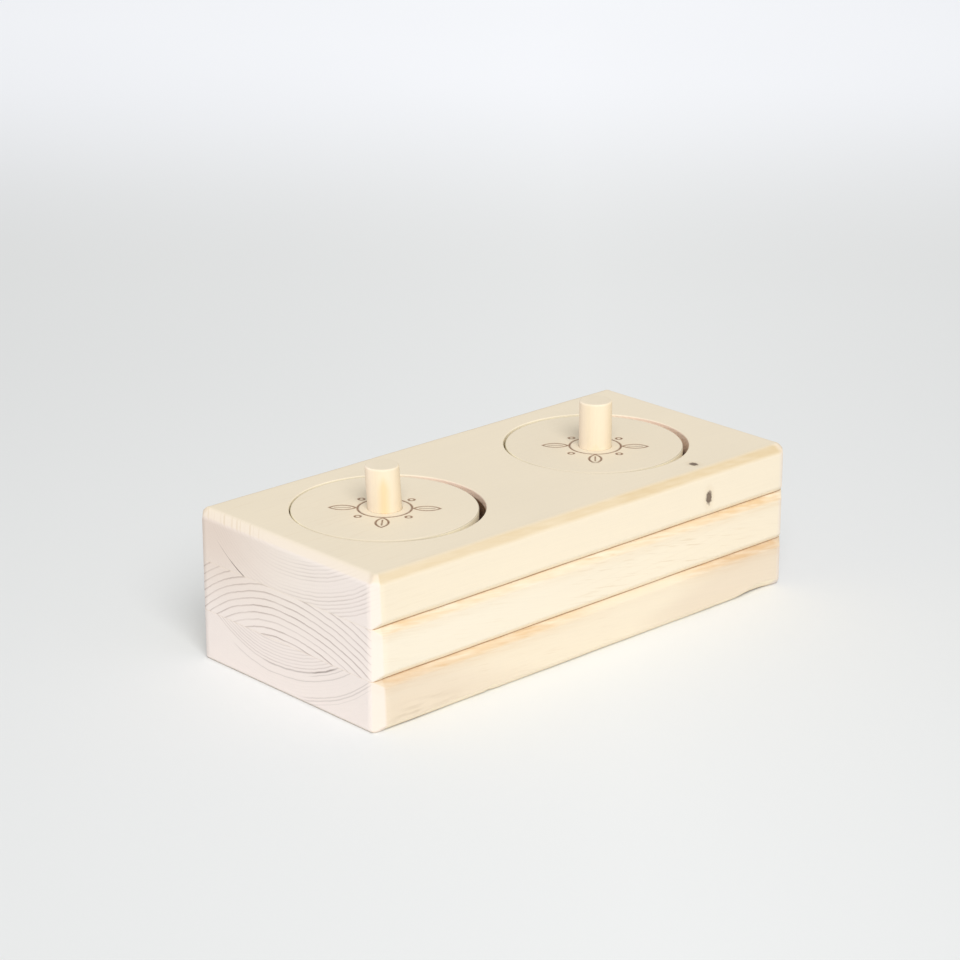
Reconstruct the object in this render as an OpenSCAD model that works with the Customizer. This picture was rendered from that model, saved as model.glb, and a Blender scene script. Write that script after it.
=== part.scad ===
// Wooden treat puzzle for rabbits: a block of three glued boards with two round wells,
// each closed by a sawn-out plug lid that lifts off by its peg.
// Frame: origin in the middle of the underside, +X along the grain from the near end
// to the far end, -Y towards the front long side, +Z up. Millimetres.

/* [Boards] */
// Length of each board along the grain
board_length = 201.5; // [185:0.5:260]
// Width of each board
board_width = 94; // [84:0.5:130]
// Thickness of each board
board_thickness = 18.5; // [16:0.5:28]
// Leg of the planed chamfer along the long edges of each board
long_chamfer = 2.4; // [0.5:0.1:3]
// Leg of the chamfer sanded on the upright corners and top end edges of the glued block
end_chamfer = 2.8; // [0.5:0.1:4]
// Leg of the eased edge along the foot of both ends
foot_chamfer = 0.8; // [0.2:0.1:2]

/* [Wells] */
// Diameter of the two holes sawn through the top board
hole_d = 68; // [58:0.5:72]
// Distance between the middles of the two holes
hole_spacing = 101.5; // [84:0.5:112]
// Distance of the pair of holes from the middle of the board, along the grain
hole_shift_x = -2; // [-4:0.1:4]
// Distance of the pair of holes from the middle of the board, across the grain
hole_shift_y = 1.4; // [-3:0.1:3]
// Leg of the eased rim at the top of each hole
rim_chamfer = 0.3; // [0.2:0.1:1.5]
// Diameter of the treat well drilled through the middle board
well_d = 50; // [25:0.5:54]
// Leg of the eased rim at the top of each treat well
well_chamfer = 0.5; // [0.2:0.1:1.5]

/* [Lids] */
// Gap between a lid and its hole all round, left by the saw
saw_gap = 1.5; // [1.4:0.1:3]
// Leg of the eased edges of a lid
lid_chamfer = 0.3; // [0.2:0.1:2]
// How far the near lid lies off the middle of its hole
near_lid_push = 1.1; // [0:0.1:1.1]
// How far the far lid lies off the middle of its hole
far_lid_push = 1.1; // [0:0.1:1.1]
// Direction in which the near lid lies off the middle, counted from +X
near_lid_angle = 160; // [0:1:360]
// Direction in which the far lid lies off the middle, counted from +X
far_lid_angle = 185; // [0:1:360]

/* [Pegs] */
// Diameter of the dowel rod that makes a lid's peg
peg_d = 12; // [8:0.5:18]
// Height of the near peg above its lid
near_peg_height = 15.8; // [8:0.1:40]
// Height of the far peg above its lid
far_peg_height = 17.5; // [8:0.1:40]
// How far the near peg stands off the middle of its lid
near_peg_off = 0.3; // [0:0.1:6]
// How far the far peg stands off the middle of its lid
far_peg_off = 2.6; // [0:0.1:6]
// Direction in which both pegs stand off the middle, counted from +X
peg_off_angle = 234; // [0:1:360]
// Leg of the eased edge at the top of a peg
peg_chamfer = 0.4; // [0.2:0.1:2]
// Glue gap between a peg and the bore in its lid
peg_glue_gap = 0.05; // [0.02:0.01:0.1]

/* [Locating dowels] */
// Diameter of the dowels that line up the three boards
dowel_d = 8; // [6:0.5:12]
// Length of each dowel
dowel_length = 40; // [32:1:44]
// Distance from a dowel's axis to the end of the block
dowel_end_inset = 12; // [9:0.5:20]
// Distance from a dowel's axis to the long side of the block
dowel_side_inset = 12; // [9:0.5:16]
// Leg of the chamfer at both ends of a dowel
dowel_chamfer = 1; // [0.3:0.1:2]
// Glue gap round a dowel
dowel_glue_gap = 0.05; // [0.02:0.01:0.1]
// Depth that each blind bore goes beyond the dowel's end
dowel_end_gap = 0.5; // [0.1:0.1:1]

/* [Hidden] */

// Fineness of round shapes, and how far a cut runs past the face that it opens
$fn = 96;
past = 1;

// Levels of the glue joints, and the top of the block
middle_z = board_thickness;
top_z = 2 * board_thickness;
block_z = 3 * board_thickness;

// A step of one millimetre seen from above, in the direction of an angle counted from +X
function direction(angle) = [cos(angle), sin(angle)];

// Places of the holes and of the lids in them, where near is the end at -X
near_hole = [hole_shift_x - hole_spacing / 2, hole_shift_y];
far_hole = [hole_shift_x + hole_spacing / 2, hole_shift_y];
near_lid = near_hole + near_lid_push * direction(near_lid_angle);
far_lid = far_hole + far_lid_push * direction(far_lid_angle);
lid_d = hole_d - 2 * saw_gap;

// Places of the pegs, which were bored by hand and stand a little off the middle of their lids
near_peg = near_lid + near_peg_off * direction(peg_off_angle);
far_peg = far_lid + far_peg_off * direction(peg_off_angle);

// Places of the dowels, which stand evenly above and below the middle board
dowel_x = board_length / 2 - dowel_end_inset;
dowel_y = board_width / 2 - dowel_side_inset;
dowel_z = (block_z - dowel_length) / 2;
dowel_places = [for (x = [-dowel_x, dowel_x], y = [-dowel_y, dowel_y]) [x, y]];

// Colours of the pieces
spruce = [0.93, 0.86, 0.72];
heartwood = [0.90, 0.81, 0.66];
rod_wood = [0.95, 0.85, 0.66];
beech = [0.80, 0.64, 0.47];

// A rectangle centred on the origin with its corners cut off at 45 degrees, the two lower
// ones by the first leg and the two upper ones by the second
module chamfered_rectangle(size, low_leg, high_leg) {
    a = size[0] / 2;
    b = size[1] / 2;
    polygon([
        [-a, low_leg - b], [low_leg - a, -b], [a - low_leg, -b], [a, low_leg - b],
        [a, b - high_leg], [a - high_leg, b], [high_leg - a, b], [-a, b - high_leg]
    ]);
}

// One planed board standing on z = 0: its long edges chamfered by the planer, its corners
// cut by the sanding of the block's ends. The profile is drawn across the grain.
module planed_board() {
    intersection() {
        translate([-board_length / 2, 0, board_thickness / 2])
            rotate([90, 0, 90])
                linear_extrude(board_length)
                    chamfered_rectangle([board_width, board_thickness], long_chamfer, long_chamfer);
        linear_extrude(board_thickness)
            chamfered_rectangle([board_length, board_width], end_chamfer, end_chamfer);
    }
}

// The block's outline seen from the front, with its eased feet and chamfered top ends,
// as a solid across the block
module sanded_ends() {
    translate([0, board_width / 2, block_z / 2])
        rotate([90, 0, 0])
            linear_extrude(board_width)
                chamfered_rectangle([board_length, block_z], foot_chamfer, end_chamfer);
}

// A round hole from z = 0 up to the given height, with an eased rim at its top
module rimmed_hole(d, height, leg) {
    translate([0, 0, -past])
        cylinder(d = d, h = height + 2 * past);
    translate([0, 0, height - leg])
        cylinder(d1 = d, d2 = d + 2 * (leg + past), h = leg + past);
}

// The bores for all the locating dowels, each as deep as a dowel and its gaps at both ends
module dowel_bores() {
    for (place = dowel_places)
        translate([place[0], place[1], dowel_z - dowel_end_gap])
            cylinder(d = dowel_d + 2 * dowel_glue_gap, h = dowel_length + 2 * dowel_end_gap);
}

// A turned round with both its edges eased, standing on z = 0
module eased_round(d, height, foot_leg, head_leg) {
    rotate_extrude()
        polygon([
            [0, 0], [d / 2 - foot_leg, 0], [d / 2, foot_leg],
            [d / 2, height - head_leg], [d / 2 - head_leg, height], [0, height]
        ]);
}

module base_board() {
    color(spruce)
        difference() {
            intersection() {
                planed_board();
                sanded_ends();
            }
            dowel_bores();
        }
}

module middle_board() {
    color(heartwood)
        difference() {
            translate([0, 0, middle_z])
                planed_board();
            for (place = [near_hole, far_hole])
                translate([place[0], place[1], middle_z])
                    rimmed_hole(well_d, board_thickness, well_chamfer);
            dowel_bores();
        }
}

module top_board() {
    color(spruce)
        difference() {
            intersection() {
                translate([0, 0, top_z])
                    planed_board();
                sanded_ends();
            }
            for (place = [near_hole, far_hole])
                translate([place[0], place[1], top_z])
                    rimmed_hole(hole_d, board_thickness, rim_chamfer);
            dowel_bores();
        }
}

// The plug sawn out of the top board, seated on the middle board and bored for its peg
module lid_disc(place, peg_place) {
    color(spruce)
        difference() {
            translate([place[0], place[1], top_z])
                eased_round(lid_d, board_thickness, lid_chamfer, lid_chamfer);
            translate([peg_place[0], peg_place[1], top_z - past])
                cylinder(d = peg_d + 2 * peg_glue_gap, h = board_thickness + 2 * past);
        }
}

// The peg, glued right through its lid and flush with the lid's underside
module lid_peg(place, height) {
    color(rod_wood)
        translate([place[0], place[1], top_z])
            eased_round(peg_d, board_thickness + height, peg_chamfer, peg_chamfer);
}

module locating_dowel(place) {
    color(beech)
        translate([place[0], place[1], dowel_z])
            eased_round(dowel_d, dowel_length, dowel_chamfer, dowel_chamfer);
}

base_board();
middle_board();
top_board();
lid_disc(near_lid, near_peg);  // near_lid_disc
lid_peg(near_peg, near_peg_height);  // near_lid_peg
lid_disc(far_lid, far_peg);  // far_lid_disc
lid_peg(far_peg, far_peg_height);  // far_lid_peg
locating_dowel(dowel_places[0]);  // near_front_dowel
locating_dowel(dowel_places[1]);  // near_back_dowel
locating_dowel(dowel_places[2]);  // far_front_dowel
locating_dowel(dowel_places[3]);  // far_back_dowel
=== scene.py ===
"""Dresses a wooden treat puzzle for rabbits: three glued boards with planed and sanded edges, two plug
lids with a scorched leaf ring, their pegs and the dowels inside, all in raw softwood, on a studio floor."""

import math
from typing import NamedTuple

import bmesh
import bpy
import numpy as np
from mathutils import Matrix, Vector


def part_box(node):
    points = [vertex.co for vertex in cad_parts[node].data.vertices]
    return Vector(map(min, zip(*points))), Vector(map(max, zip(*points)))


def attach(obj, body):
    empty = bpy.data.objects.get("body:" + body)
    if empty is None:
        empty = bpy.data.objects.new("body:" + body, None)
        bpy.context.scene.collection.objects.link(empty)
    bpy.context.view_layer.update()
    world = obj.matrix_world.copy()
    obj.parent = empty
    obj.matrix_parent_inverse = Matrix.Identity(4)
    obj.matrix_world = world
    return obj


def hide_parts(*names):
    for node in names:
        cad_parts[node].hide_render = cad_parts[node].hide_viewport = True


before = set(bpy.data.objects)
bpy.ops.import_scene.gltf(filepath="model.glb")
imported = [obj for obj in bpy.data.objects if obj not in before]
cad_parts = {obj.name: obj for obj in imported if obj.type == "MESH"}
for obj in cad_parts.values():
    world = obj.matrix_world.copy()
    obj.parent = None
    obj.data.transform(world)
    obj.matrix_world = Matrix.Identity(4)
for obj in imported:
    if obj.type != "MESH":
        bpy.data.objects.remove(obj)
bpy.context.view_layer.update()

bl_info = {
    "name": "Wooden treat puzzle",
    "version": (1, 0, 0),
    "blender": (4, 5, 0),
    "location": "View3D > Sidebar > Puzzle",
    "description": "Builds a wooden treat puzzle for rabbits, its raw wood finishes and its studio",
    "category": "Object",
}

MM = 0.001
TURN = 2 * math.pi


def packed_size(node):
    """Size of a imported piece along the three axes."""
    low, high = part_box(node)
    return [top - bottom for bottom, top in zip(low, high)]


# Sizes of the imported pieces, from which the main sizes come
BOARD_SIZE = packed_size("top_board")
LID_SIZE = packed_size("near_lid_disc")
PEG_SIZE = packed_size("near_lid_peg")
DOWEL_SIZE = packed_size("near_front_dowel")
BLOCK_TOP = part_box("top_board")[1][2]


# Properties

def length(name, description, default):
    """A length in metres that the sidebar shows in the scene's unit."""
    return bpy.props.FloatProperty(
        name=name, description=description, default=default, unit="LENGTH", precision=5
    )


def paint(name, description, default):
    """A linear colour."""
    return bpy.props.FloatVectorProperty(
        name=name, description=description, default=default, subtype="COLOR", size=3, min=0, max=1
    )


class PuzzleSizes(bpy.types.PropertyGroup):
    """Sizes of the puzzle's pieces"""

    board_length: length("Board length", "Length of each board along the grain", BOARD_SIZE[0])
    board_width: length("Board width", "Width of each board", BOARD_SIZE[1])
    board_thickness: length("Board thickness", "Thickness of each board", BOARD_SIZE[2])
    long_chamfer: length("Long chamfer", "Leg of the planed chamfer on the long edges", 2.4 * MM)
    end_chamfer: length("End chamfer", "Leg of the sanded chamfer on the corners and top ends", 2.8 * MM)
    foot_chamfer: length("Foot chamfer", "Leg of the eased edge at the foot of the ends", 0.8 * MM)
    corner_flare: length("Corner flare", "How much wider the near front corner gets downwards", 2.6 * MM)
    hole_radius: length("Hole radius", "Radius of the sawn holes in the top board", 34 * MM)
    hole_spacing: length("Hole spacing", "Distance between the middles of the holes", 101.5 * MM)
    hole_shift_x: length("Hole shift along", "How far the holes lie off the middle, along the grain", -2 * MM)
    hole_shift_y: length("Hole shift across", "How far the holes lie off the middle, across it", 1.4 * MM)
    rim_chamfer: length("Rim chamfer", "Leg of the eased rim of the holes", 0.3 * MM)
    well_radius: length("Well radius", "Radius of the treat wells in the middle board", 25 * MM)
    well_chamfer: length("Well chamfer", "Leg of the eased rim of the wells", 0.5 * MM)
    lid_radius: length("Lid radius", "Radius of the plug lids", LID_SIZE[0] / 2)
    lid_chamfer: length("Lid chamfer", "Leg of the eased edges of the lids", 0.3 * MM)
    peg_radius: length("Peg radius", "Radius of the pegs", PEG_SIZE[0] / 2)
    peg_chamfer: length("Peg chamfer", "Leg of the eased edges of the pegs", 0.4 * MM)
    glue_gap: length("Glue gap", "Gap between a peg and its bore", 0.05 * MM)
    dowel_radius: length("Dowel radius", "Radius of the locating dowels", DOWEL_SIZE[0] / 2)
    dowel_chamfer: length("Dowel chamfer", "Leg of the chamfer at a dowel's ends", 1 * MM)
    flute_depth: length("Flute depth", "Depth of the glue flutes along the dowels", 0.35 * MM)
    near_peg_lean: bpy.props.FloatProperty(
        name="Near peg lean", description="How far the near peg leans", default=math.radians(3.2),
        subtype="ANGLE",
    )
    line_width: length("Line width", "Width of the scorched lines on the lids", 0.7 * MM)
    line_depth: length("Line depth", "Depth of the scorched lines on the lids", 0.3 * MM)


class PuzzleColours(bpy.types.PropertyGroup):
    """Colours of the puzzle's woods"""

    pale_wood: paint("Pale wood", "Early wood on the long faces", (0.85, 0.75, 0.585))
    ring_wood: paint("Ring wood", "Late wood on the long faces", (0.70, 0.56, 0.385))
    end_wood: paint("End wood", "Early wood on the end grain", (0.905, 0.815, 0.765))
    end_ring: paint("End ring", "Late wood on the end grain", (0.42, 0.335, 0.30))
    planed_wood: paint("Planed wood", "Tint of the unsanded edges at the joints", (0.87, 0.72, 0.55))
    brow_wood: paint("Brow wood", "Tint of the top edges, darkened by handling", (0.82, 0.735, 0.585))
    # This colour is painted light: it keeps the edges that face down as pale as the faces.
    painted_underside_light: paint("Fresh wood", "Edges that face down, which stay pale", (0.98, 0.87, 0.675))
    sanded_wood: paint("Sanded wood", "The freshly sanded corners of the block", (0.86, 0.765, 0.70))
    sanded_top: paint("Sanded top", "The freshly sanded top edges of the ends", (0.87, 0.765, 0.65))
    side_wood: paint("Side wood", "Sawn walls of the holes near the top", (0.87, 0.79, 0.62))
    # Cut wood is the walls' pinkish colour, made lighter with painted light where they face the near end.
    lit_cut_wood: paint("Cut wood", "The same where they face the near end", (0.95, 0.755, 0.63))
    # Sawn wood is painted shade of the narrow gaps round the lids, with some saw burn.
    saw_burn_and_gap_shade: paint("Sawn wood", "The same further down, darkened by the saw", (0.21, 0.12, 0.065))
    lid_side: paint("Lid side", "Sides of the lids near the top", (0.95, 0.86, 0.65))
    # Painted shade on the lids' eased upper edges towards the front, which takes away their highlight.
    lid_rim_shade: paint("Lid rim", "Eased upper edges of the lids towards the front", (0.62, 0.545, 0.415))
    # Painted shade on the sides of the lids towards the near front corner.
    lid_side_shade: paint("Worn lid side", "Sides of the lids where they are rubbed dark", (0.70, 0.62, 0.475))
    # Lid burn is painted shade of the gap round each lid, with some saw burn.
    lid_burn_and_gap_shade: paint("Lid burn", "Sides of the lids further down, darkened by the saw", (0.38, 0.24, 0.15))
    seam_wood: paint("Seam", "Glue and dust in the joints between the boards", (0.52, 0.32, 0.18))
    # Soil is a painted contact shadow along the foot of the block, with some dirt.
    foot_shade_and_dirt: paint("Soil", "Dirt along the foot of the block", (0.30, 0.19, 0.105))
    smear: paint("Smear", "Tint of a smear above the near part of the foot", (0.85, 0.83, 0.80))
    end_warm: paint("End warmth", "Tint of the ends towards their upper back corners", (0.99, 0.99, 0.955))
    end_blush: paint("End blush", "Further tint of those corners", (0.885, 0.832, 0.803))
    fair_wood: paint("Fair wood", "Early wood at the near end of the middle board", (0.855, 0.772, 0.625))
    dull_wood: paint("Dull wood", "Tint of the base board towards both its ends", (0.91, 0.88, 0.88))
    knot_wood: paint("Knot", "Pin knot", (0.17, 0.125, 0.09))
    scorch: paint("Scorch", "Lines burnt into the lids", (0.24, 0.125, 0.07))
    rod_wood: paint("Rod wood", "Pale wood of the pegs", (0.87, 0.755, 0.575))
    rod_ring: paint("Rod ring", "Warm streaks of the pegs", (0.86, 0.64, 0.36))
    # Pinkish colour with painted light, on the side of the pegs towards the near end and the back.
    rod_blush_and_light: paint("Rod blush", "Pinkish side of the pegs", (1.0, 0.86, 0.70))
    beech: paint("Beech", "Wood of the locating dowels", (0.60, 0.38, 0.22))
    beech_fleck: paint("Beech fleck", "Short flecks in the dowels", (0.42, 0.24, 0.13))
    floor: paint("Floor", "Studio floor before the object", (0.88, 0.892, 0.892))
    backdrop: paint("Backdrop", "Studio floor far behind the object", (0.945, 0.96, 0.995))


# Mesh building

# Points closer than this become one
WELD = 0.002 * MM


def closed_quads(rows, columns, first):
    """Corner numbers of the quads of a grid whose columns close on themselves, counted from `first`:
    quad (r, c) joins (r, c), (r + 1, c), (r + 1, c + 1) and (r, c + 1)."""
    row = np.arange(rows - 1)[:, None] * columns
    column = np.arange(columns)
    beside = (column + 1) % columns
    corners = [row + column, row + columns + column, row + columns + beside, row + beside]
    return np.stack(corners, axis=-1).reshape(-1, 4) + first


def set_piece(node, body, material, grids, traits=(), caps=()):
    """Welds grids of points, each rows by columns by 3 and closed along its columns, and flat caps, each a
    loop of points, into one mesh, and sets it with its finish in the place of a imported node. `traits` gives
    for each named attribute one array per grid."""
    points = [grid.reshape(-1, 3) for grid in grids] + list(caps)
    starts = np.cumsum([0] + [len(run) for run in points])
    faces = []
    for grid, first in zip(grids, starts):
        faces += closed_quads(*grid.shape[:2], first).tolist()
    for cap, first in zip(caps, starts[len(grids):]):
        faces.append(list(range(first, first + len(cap))))
    name = node.replace("_", "-")
    mesh = bpy.data.meshes.new(name)
    mesh.from_pydata(np.concatenate(points), [], faces)
    bare = [np.zeros(len(cap)) for cap in caps]
    for trait, arrays in dict(traits).items():
        values = [np.broadcast_to(array, grid.shape[:2]).ravel() for array, grid in zip(arrays, grids)]
        values = np.concatenate(values + bare).astype(np.float32)
        mesh.attributes.new(trait, "FLOAT", "POINT").data.foreach_set("value", values)
    shell = bmesh.new()
    shell.from_mesh(mesh)
    bmesh.ops.remove_doubles(shell, verts=shell.verts, dist=WELD)
    bmesh.ops.dissolve_degenerate(shell, edges=shell.edges, dist=WELD)
    bmesh.ops.recalc_face_normals(shell, faces=shell.faces)
    shell.to_mesh(mesh)
    shell.free()
    mesh.polygons.foreach_set("use_smooth", np.ones(len(mesh.polygons), dtype=bool))
    mesh.materials.append(material)
    piece = bpy.data.objects.new(name, mesh)
    bpy.context.scene.collection.objects.link(piece)
    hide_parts(node)
    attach(piece, body)


def smooth(low, high, value):
    """Smooth step from 0 at `low` to 1 at `high`."""
    t = np.clip((value - low) / (high - low), 0, 1)
    return t * t * (3 - 2 * t)


def sway(along, seed):
    """A slow wave between about -1 and 1: the sum of three sines of unlike heights, lengths and phases."""
    waves = ((0.5, 11 * MM, 1.7), (0.3, 5.3 * MM, 2.9), (0.2, 2.1 * MM, 4.1))
    return sum(height * np.sin(along / run + phase * seed) for height, run, phase in waves)


def even_steps(count, start=0.0, stop=1.0):
    """Even steps from `start` up to, but without, `stop`."""
    return np.linspace(start, stop, count, endpoint=False)


# An arris between planes 45 degrees apart, rounded with radius r, begins r * ARRIS_RUN from its corner, and
# the middle of its arc lies r * ARRIS_SAG from the corner along the bisector. The others are parts of these
# along a face and a chamfer.
ARRIS_RUN = math.tan(math.pi / 8)
ARRIS_SAG = 1 / math.cos(math.pi / 8) - 1
ARRIS_FAR = ARRIS_RUN * math.sqrt(0.5)
SAG_LESS = ARRIS_SAG * math.sin(math.pi / 8)
SAG_MORE = ARRIS_SAG * math.cos(math.pi / 8)

# Distance from an arris to the row of points that keeps the face beside it flat
SUPPORT = 0.35 * MM

# Share on each row of the profile below of the chamfer's finish, of the planer's tint, which fades out down
# the side, of all that lies below the face, and of the dark line along the edge
CHAMFER_SHARE = np.array([0, 0.05, 0.2, 0.55, 1, 1, 1, 0.5, 0, 0])[:, None]
PLANED_SHARE = np.array([0, 0.05, 0.2, 0.55, 1, 1, 0.7, 0.55, 0.45, 0.3])[:, None]
BELOW_FACE = np.array([0, 0, 0, 0.5, 1, 1, 1, 1, 1, 1])[:, None]
LINE_SHARE = np.array([1, 1, 1, 1, 0.9, 0, 0, 0, 0, 0])[:, None]


def chamfer_profile(leg, inner_radius, outer_radius, band, line):
    """Profile of a chamfered edge as rows of (inset from the side, drop from the face): from `band` inside
    the face, over the rounded arris between face and chamfer, past the edge of a dark line of width `line`,
    over the arris between chamfer and side, to a little way down the side. `leg` may vary along the edge."""
    leg = np.asarray(leg, float)
    inner = np.minimum(inner_radius, 0.8 * leg)
    outer = np.minimum(outer_radius, 0.8 * leg)
    mark = np.minimum(np.maximum(line, 1.05 * ARRIS_FAR * inner), 0.5 * leg)
    none = np.zeros_like(leg)
    rows = [
        (none + band, none),
        (leg + ARRIS_RUN * inner + SUPPORT, none),
        (leg + ARRIS_RUN * inner, none),
        (leg + SAG_LESS * inner, SAG_MORE * inner),
        (leg - ARRIS_FAR * inner, ARRIS_FAR * inner),
        (leg - mark, mark),
        (ARRIS_FAR * outer, leg - ARRIS_FAR * outer),
        (SAG_MORE * outer, leg + SAG_LESS * outer),
        (none, leg + ARRIS_RUN * outer),
        (none, leg + ARRIS_RUN * outer + SUPPORT),
    ]
    return np.array([row[0] for row in rows]), np.array([row[1] for row in rows])


# Boards

# Width of the band inside a board's outline that carries its worked edges
EDGE_BAND = 6 * MM
# Leg of the edge that a glue joint leaves on the ends
HAIRLINE = 0.06 * MM
# Widths of the dark line in a glue joint and along the foot, and place of the same row on a rim without one
SEAM_LINE = 0.26 * MM
FOOT_LINE = 0.85 * MM
RIM_LINE = 0.2 * MM
# How much further the far front and the near back corner are cut than the other two
CORNER_TRIM = 0.7 * MM
# Least leg of a corner's edge, eased by hand, as a share of the end's leg
CORNER_EASE, NEAR_BACK_EASE = 0.75, 0.3
# Share of the block's height above which the near front corner is cut less than the others, not more
FLARE_LEVEL = 0.85
# Steps along half a long side, an end and a cut corner, and rows down a board's side
SIDE_STEPS = 48
END_STEPS = 46
CORNER_STEPS = 6
WALL_ROWS = np.array([0.25, 0.5, 0.75])[:, None]
# Depths at which the walls darken with painted shade of the gap and some saw burn, in the near and the far
# hole and on the near and the far lid, and the shares of such a depth at which this starts and is full
HOLE_SHADE_AND_BURN = (2.6 * MM, 7 * MM)
LID_SHADE_AND_BURN = (4.5 * MM, 7 * MM)
SHADE_AND_BURN_STARTS, SHADE_AND_BURN_FULL = 0.67, 1.13

# Pairs of a place along the board in millimetres and how strongly the edge shows its finish there: the upper
# edges at the low and the high joint, the top edge, and one that is the same all along
LOW_WORN = (
    (-100, 0.75), (-85, 0.65), (-60, 1.0), (-20, 0.7), (10, 0.15), (40, 0.1), (56, 0.8), (90, 1.1),
)
HIGH_WORN = ((-100, 0.85), (-60, 0.55), (-20, 0.44), (20, 0.53), (60, 0.62), (90, 1.1))
BROW_WORN = ((-100, 0.75), (-20, 0.8), (20, 0.97), (100, 1.0))
EVEN = ((0, 1.0),)

# Pairs of a place along the foot and how strong the painted contact shadow and dirt are there, and the chips
# there, each a place, a half width and a depth, all in millimetres
FOOT_SHADE_AND_DIRT = (
    (-100, 0.25), (-92, 0.75), (-84, 0.85), (-74, 0.4), (-62, 0.12), (-50, 0.4), (-40, 0.1), (-20, 0.32),
    (20, 0.28), (40, 0.04), (60, 0.36), (76, 0.4), (83, 1.0), (92, 1.0), (98, 0.3),
)
FOOT_CHIPS = ((-50, 1.5, 0.5), (84, 5, 0.9), (91, 6, 1.1))


class BoardPlan:
    """The board's outline seen from above, walked anticlockwise from the near front corner: eight sides,
    of which the odd ones are the cut corners. A point is side start + (side end - side start) * fraction.
    Beside each point of the outline lies a point of the plain rectangle that is EDGE_BAND further in."""

    def __init__(self, sizes):
        half_x, half_y = sizes.board_length / 2, sizes.board_width / 2
        cut = sizes.end_chamfer
        more = cut + CORNER_TRIM
        ix, iy = half_x - EDGE_BAND, half_y - EDGE_BAND
        self.inner_x, self.inner_y, self.split_x = ix, iy, sizes.hole_shift_x
        split = (self.split_x + ix) / (2 * ix)
        front = np.concatenate([even_steps(SIDE_STEPS, 0, split), even_steps(SIDE_STEPS, split, 1)])
        back = np.concatenate([even_steps(SIDE_STEPS, 0, 1 - split), even_steps(SIDE_STEPS, 1 - split, 1)])
        end, corner = even_steps(END_STEPS), even_steps(CORNER_STEPS)
        fractions = [front, corner, end, corner, back, corner, end, corner]
        self.side = np.repeat(np.arange(8), [len(run) for run in fractions])
        self.fraction = np.concatenate(fractions)
        turns = np.array([
            [cut - half_x, -half_y], [half_x - more, -half_y], [half_x, more - half_y],
            [half_x, half_y - cut], [half_x - cut, half_y], [more - half_x, half_y],
            [-half_x, half_y - more], [-half_x, cut - half_y],
        ])
        self.outer = self.along(turns)
        self.inner = self.along(np.sign(turns) * (ix, iy))
        self.long = np.isin(self.side, (0, 4))
        self.end = np.isin(self.side, (2, 6))
        self.corner = self.side % 2 == 1
        leaving = np.isin(self.side, (1, 5))
        self.past_long = cut * np.where(leaving, self.fraction, 1 - self.fraction)
        fading = np.where(self.side == 0, 1 - self.fraction, 0)
        flare = np.where(self.side == 7, self.fraction, fading)
        self.flare = np.column_stack([flare, np.zeros_like(flare)])
        self.eased = np.where(self.side == 5, NEAR_BACK_EASE, CORNER_EASE)

    def along(self, turns):
        """Points at each step of the walk between the eight turning points."""
        start, stop = turns[self.side], turns[(self.side + 1) % 8]
        return start + (stop - start) * self.fraction[:, None]

    def legs(self, long_leg, end_leg, cut):
        """Leg of an edge's chamfer at each step: the long edge's, the end's, and in a cut corner the deeper
        of the two planes, which meet there, or a leg eased by hand where that is deeper."""
        planes = np.maximum(long_leg - self.past_long, end_leg - cut + self.past_long)
        corner = np.maximum(planes, self.eased * end_leg)
        return np.where(self.long, long_leg, np.where(self.end, end_leg, corner))

    def half_loop(self, far):
        """Boundary of the near or the far half of the inner rectangle, anticlockwise."""
        ix, iy, sx = self.inner_x, self.inner_y, self.split_x
        low_x, high_x = (sx, ix) if far else (-ix, sx)
        turns = [(low_x, -iy), (high_x, -iy), (high_x, iy), (low_x, iy), (low_x, -iy)]
        counts = [SIDE_STEPS, END_STEPS, SIDE_STEPS, END_STEPS]
        return np.concatenate([even_steps(*run) for run in zip(counts, turns, turns[1:])])


# The third finish paints light on the edges that face down, keeping them pale.
EDGE_FINISHES = ("planed", "brow", "pale_band")


class Edge(NamedTuple):
    """How the upper or lower edge of a board is worked: its legs on the long sides and the ends, the rounding
    of its arrises, whether it closes a glue joint, the name of its finish and the finish's strength along the
    board, the phase of its waves, and its chips and the painted contact shadow with some dirt along it."""

    long_leg: float
    end_leg: float
    inner_radius: float
    outer_radius: float
    seam: int
    finish: str
    strength: tuple
    seed: float
    chips: tuple = ()
    foot_shade_and_dirt: tuple = ((0, 0.0),)

    def leg(self, x, y):
        """Leg of the chamfer along the board: a slow wave, and on the front a rounded bite at each chip."""
        bites = [depth * np.exp(-(((x / MM - place) / half) ** 2)) for place, half, depth in self.chips]
        return self.long_leg * (1 + 0.05 * sway(x, self.seed)) + MM * sum(bites) * (y < 0)

    def share(self, x):
        """Strength of the edge's finish along the board."""
        return np.interp(x / MM, *zip(*self.strength)) * (0.92 + 0.08 * sway(x, self.seed))

    def line(self, x):
        """Strength of the dark line along the edge: full in a glue joint, else as strong as the painted
        contact shadow and dirt there.
        """
        return np.maximum(self.seam, np.interp(x / MM, *zip(*self.foot_shade_and_dirt)))


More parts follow.
